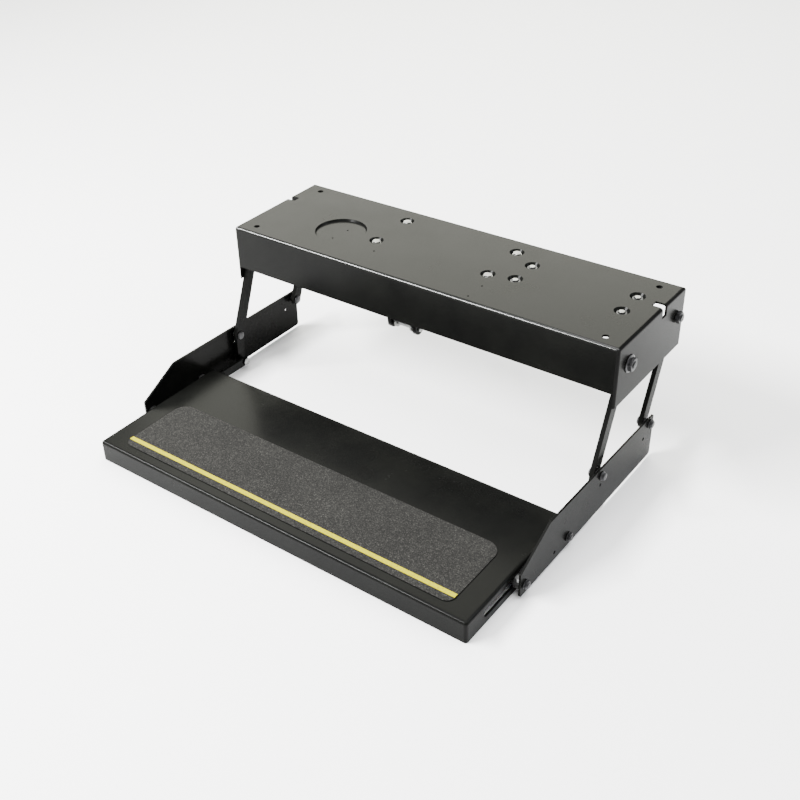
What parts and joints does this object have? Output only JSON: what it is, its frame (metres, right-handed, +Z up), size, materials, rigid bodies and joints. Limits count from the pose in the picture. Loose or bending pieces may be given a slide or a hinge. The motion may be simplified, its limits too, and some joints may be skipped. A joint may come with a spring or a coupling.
{
  "type": "powered folding vehicle entry step",
  "caption": "Powered folding entry step: a sheet-steel frame pan over swinging arms, side plates and a sliding tread with a grip mat, driven by a gear motor.",
  "frame": {"origin": "middle of the frame pan's top face, which bolts up under a floor", "axes": "+X along the step's width, +Y from the tread towards the vehicle, +Z up"},
  "size_m": [0.647, 0.506, 0.2326],
  "materials": {
    "black_paint": "satin black powder coat",
    "zinc_steel": "bright zinc plate",
    "black_steel": "black oxide, slightly oily",
    "grip_surface": "coarse grit sheet",
    "yellow_paint": "matt reflective strip",
    "gear_alloy": "as cast",
    "black_plastic": "fine moulded texture",
    "nylon": "black nylon"
  },
  "bodies": {
    "frame": {"frame_pan": "black_paint", "bracket_bolt_1": "zinc_steel", "bracket_bolt_2": "zinc_steel", "bracket_bolt_3": "zinc_steel", "bracket_bolt_4": "zinc_steel", "module_bolt_1": "zinc_steel", "module_bolt_2": "zinc_steel", "module_bolt_3": "zinc_steel", "module_bolt_4": "zinc_steel", "motor_bracket": "black_steel", "module_bracket": "black_steel", "control_module": "black_plastic", "gear_housing": "gear_alloy", "motor_can": "black_steel", "motor_end_cap": "black_plastic", "upper_bolt_front_left": "black_steel", "upper_bolt_front_right": "black_steel", "upper_bolt_rear_left": "black_steel", "upper_bolt_rear_right": "black_steel"},
    "front_arms": {"front_arm_left": "black_paint", "front_arm_right": "black_paint", "torque_tube": "black_paint", "drive_lug_left": "black_paint", "drive_lug_right": "black_paint", "drive_pin": "zinc_steel"},
    "rear_arm_left": {"rear_arm_left": "black_paint"},
    "rear_arm_right": {"rear_arm_right": "black_paint"},
    "side_plates": {"side_plate_left": "black_paint", "side_plate_right": "black_paint", "lower_bolt_front_left": "black_steel", "lower_bolt_front_right": "black_steel", "lower_bolt_rear_left": "black_steel", "lower_bolt_rear_right": "black_steel", "slide_bolt_front_left": "black_steel", "slide_bolt_front_right": "black_steel", "slide_bolt_rear_left": "black_steel", "slide_bolt_rear_right": "black_steel", "slide_bush_front_left": "nylon", "slide_bush_front_right": "nylon", "slide_bush_rear_left": "nylon", "slide_bush_rear_right": "nylon"},
    "tread": {"tread_pan": "black_paint", "tread_bracket_left": "black_paint", "tread_bracket_right": "black_paint", "grip_mat": "grip_surface", "warning_stripe": "yellow_paint"},
    "tread_link_left": {"tread_link_left": "black_paint"},
    "tread_link_right": {"tread_link_right": "black_paint"},
    "crank": {"crank_arm": "black_paint", "crank_pin": "zinc_steel", "output_shaft": "black_steel"},
    "drive_link": {"drive_link": "zinc_steel"},
    "armature": {"armature": "zinc_steel"},
    "planet_1": {"planet_gear_1": "black_steel"},
    "planet_2": {"planet_gear_2": "black_steel"},
    "planet_3": {"planet_gear_3": "black_steel"}
  },
  "joints": [
    {"name": "step_swing", "type": "hinge", "parent": "frame", "child": "front_arms", "pos_m": [0, -0.062, -0.036], "axis": [1, 0, 0], "range_deg": [0, 89]},
    {"name": "rear_arm_left_swing", "type": "hinge", "parent": "frame", "child": "rear_arm_left", "pos_m": [-0.30715, 0.076, -0.036], "axis": [1, 0, 0], "range_deg": [0, 90]},
    {"name": "rear_arm_right_swing", "type": "hinge", "parent": "frame", "child": "rear_arm_right", "pos_m": [0.30715, 0.076, -0.036], "axis": [1, 0, 0], "range_deg": [0, 90]},
    {"name": "side_plates_level", "type": "hinge", "parent": "front_arms", "child": "side_plates", "pos_m": [0, -0.117, -0.1745], "axis": [1, 0, 0], "range_deg": [-90, 0]},
    {"name": "tread_slide", "type": "slide", "parent": "side_plates", "child": "tread", "axis": [0, 1, 0], "range_m": [0, 0.065]},
    {"name": "tread_link_left_swing", "type": "hinge", "parent": "front_arms", "child": "tread_link_left", "pos_m": [-0.297, -0.12, -0.2175], "axis": [1, 0, 0], "range_deg": [-38.1, 0]},
    {"name": "tread_link_right_swing", "type": "hinge", "parent": "front_arms", "child": "tread_link_right", "pos_m": [0.297, -0.12, -0.2175], "axis": [1, 0, 0], "range_deg": [-38.1, 0]},
    {"name": "crank_swing", "type": "hinge", "parent": "frame", "child": "crank", "pos_m": [-0.003, 0.024, -0.036], "axis": [1, 0, 0], "range_deg": [0, 90]},
    {"name": "drive_link_level", "type": "hinge", "parent": "front_arms", "child": "drive_link", "pos_m": [-0.025, -0.062, -0.09], "axis": [1, 0, 0], "range_deg": [-90, 0]},
    {"name": "armature_spin", "type": "hinge", "parent": "frame", "child": "armature", "pos_m": [0.05, 0.024, -0.036], "axis": [1, 0, 0], "range_deg": [0, 360]},
    {"name": "planet_1_spin", "type": "hinge", "parent": "crank", "child": "planet_1", "pos_m": [0.013, 0.0366, -0.036], "axis": [1, 0, 0], "range_deg": [-270, 0]},
    {"name": "planet_2_spin", "type": "hinge", "parent": "crank", "child": "planet_2", "pos_m": [0.013, 0.0177, -0.02509], "axis": [1, 0, 0], "range_deg": [-270, 0]},
    {"name": "planet_3_spin", "type": "hinge", "parent": "crank", "child": "planet_3", "pos_m": [0.013, 0.0177, -0.04691], "axis": [1, 0, 0], "range_deg": [-270, 0]}
  ],
  "couplings": [
    {"joint": "rear_arm_left_swing", "follows": "step_swing", "ratio": 1},
    {"joint": "rear_arm_right_swing", "follows": "step_swing", "ratio": 1},
    {"joint": "side_plates_level", "follows": "step_swing", "ratio": -1},
    {"joint": "tread_slide", "follows": "step_swing", "m_per_rad": 0.04138},
    {"joint": "tread_link_left_swing", "follows": "step_swing", "ratio": -0.42278},
    {"joint": "tread_link_right_swing", "follows": "step_swing", "ratio": -0.42278},
    {"joint": "crank_swing", "follows": "step_swing", "ratio": 1},
    {"joint": "drive_link_level", "follows": "step_swing", "ratio": -1},
    {"joint": "armature_spin", "follows": "step_swing", "ratio": 4},
    {"joint": "planet_1_spin", "follows": "step_swing", "ratio": -3},
    {"joint": "planet_2_spin", "follows": "step_swing", "ratio": -3},
    {"joint": "planet_3_spin", "follows": "step_swing", "ratio": -3}
  ]
}
